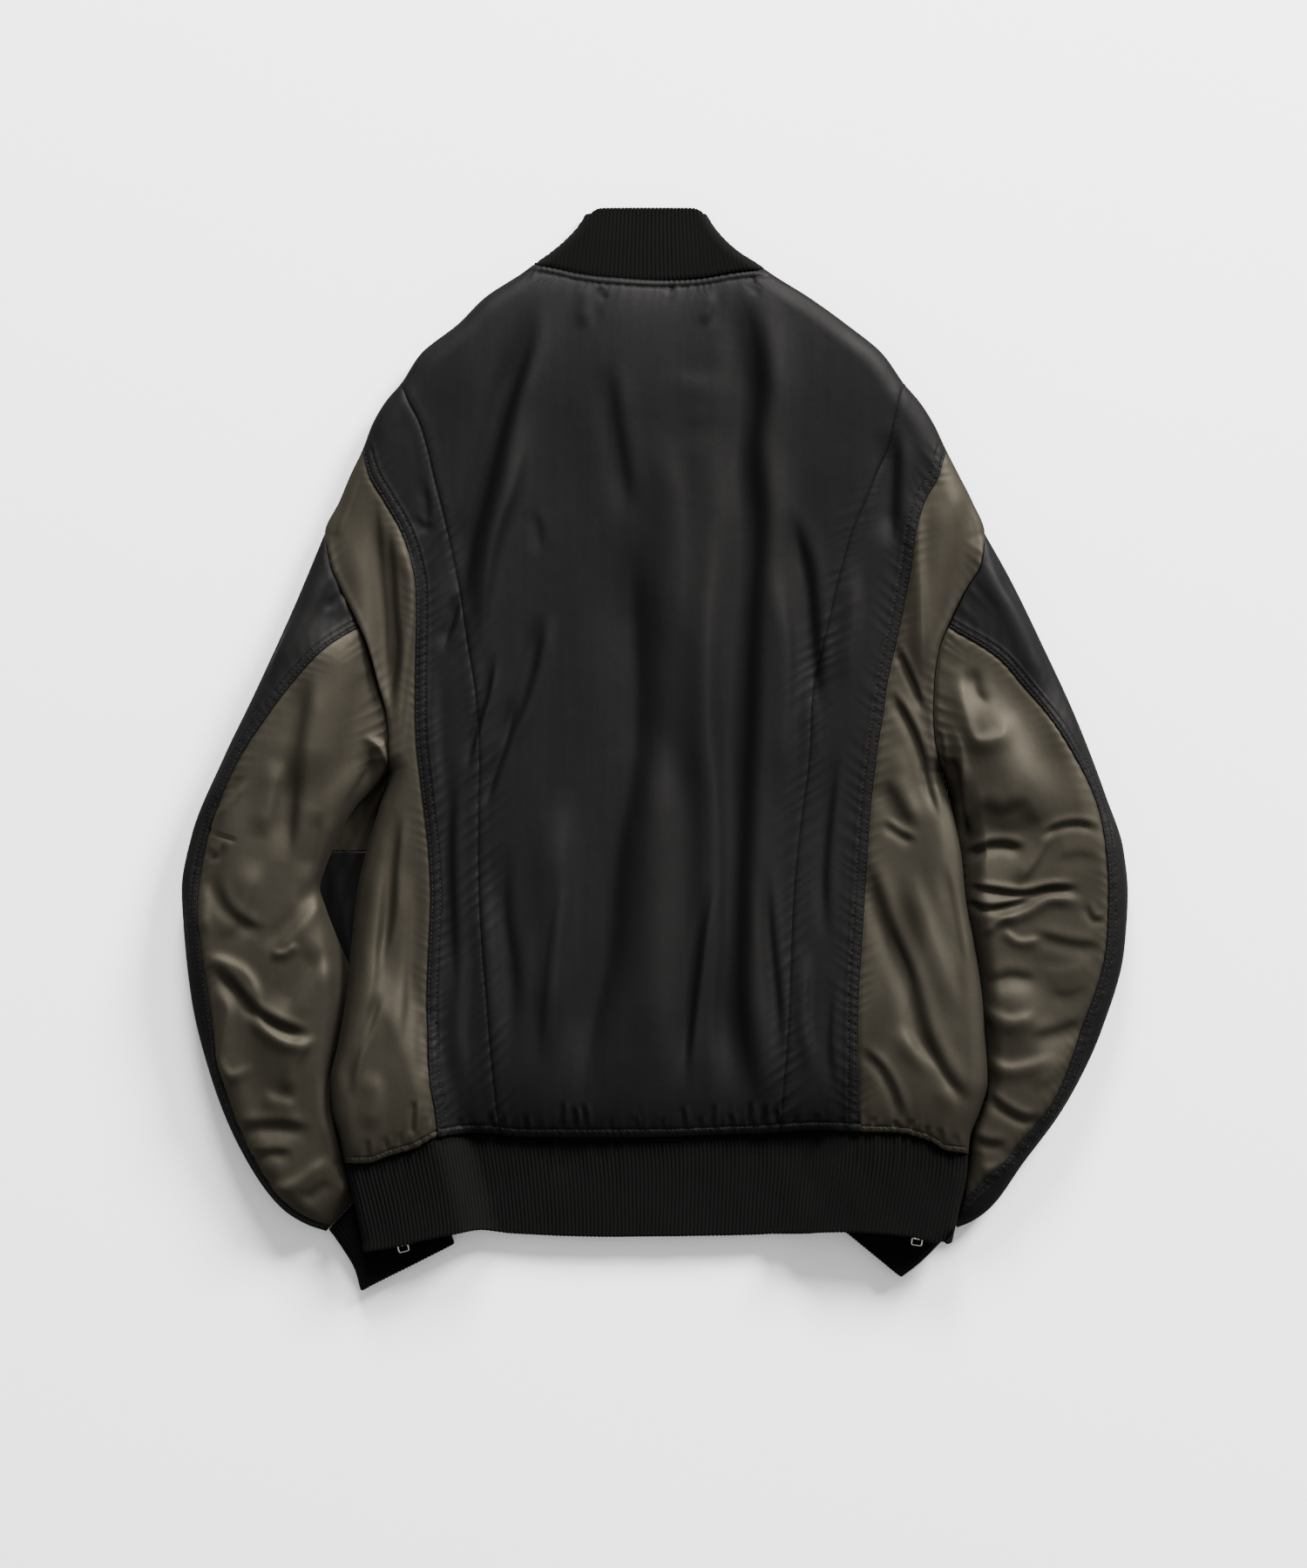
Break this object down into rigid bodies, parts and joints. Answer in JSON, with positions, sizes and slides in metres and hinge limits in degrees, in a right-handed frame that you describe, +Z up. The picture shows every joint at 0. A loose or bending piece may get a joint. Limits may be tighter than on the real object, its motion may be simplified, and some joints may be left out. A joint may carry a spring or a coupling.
{
  "type": "bomber jacket",
  "caption": "Padded two-colour bomber jacket with ribbed collar, cuffs and hem, lying flat and face down with its sleeves tucked under the sides.",
  "frame": {"origin": "on the resting surface, under the middle of the outline", "axes": "+X across the jacket towards the wearer's right side, +Y from the hem to the collar, +Z up from the surface; the back faces up"},
  "size_m": [0.674, 0.7726, 0.0401],
  "materials": {
    "nylon_black": "black satin-weave nylon, soft sheen",
    "nylon_olive": "olive-taupe satin-weave nylon, soft sheen",
    "rib_black": "black rib knit, matt",
    "zip_metal": "bright nickel plate"
  },
  "bodies": {
    "jacket": {"back_centre": "nylon_black", "side_back_L": "nylon_black", "side_back_R": "nylon_black", "side_panel_L": "nylon_olive", "side_panel_R": "nylon_olive", "front_L": "nylon_black", "front_R": "nylon_black", "collar_rib": "rib_black", "hem_rib": "rib_black", "cuff_L": "rib_black", "cuff_R": "rib_black", "sleeve_outer_L": "nylon_black", "sleeve_outer_R": "nylon_black", "sleeve_back_L": "nylon_olive", "sleeve_back_R": "nylon_olive", "sleeve_under_L": "nylon_black", "sleeve_under_R": "nylon_black", "front_zip": "zip_metal", "front_zip_slider": "zip_metal", "zip_slider_L": "zip_metal", "zip_slider_R": "zip_metal", "underarm_L": "nylon_olive", "front_side_L": "nylon_black"},
    "pull_L": {"pull_loop_L": "zip_metal"},
    "pull_R": {"pull_loop_R": "zip_metal"}
  },
  "joints": [
    {"name": "pull_L_lift", "type": "hinge", "parent": "jacket", "child": "pull_L", "pos_m": [-0.1798, -0.3529, 0.0135], "axis": [-0.9703, -0.2419, 0], "range_deg": [0, 50]},
    {"name": "pull_R_lift", "type": "hinge", "parent": "jacket", "child": "pull_R", "pos_m": [0.1872, -0.3483, 0.0135], "axis": [-0.9903, 0.1392, 0], "range_deg": [0, 44]}
  ]
}
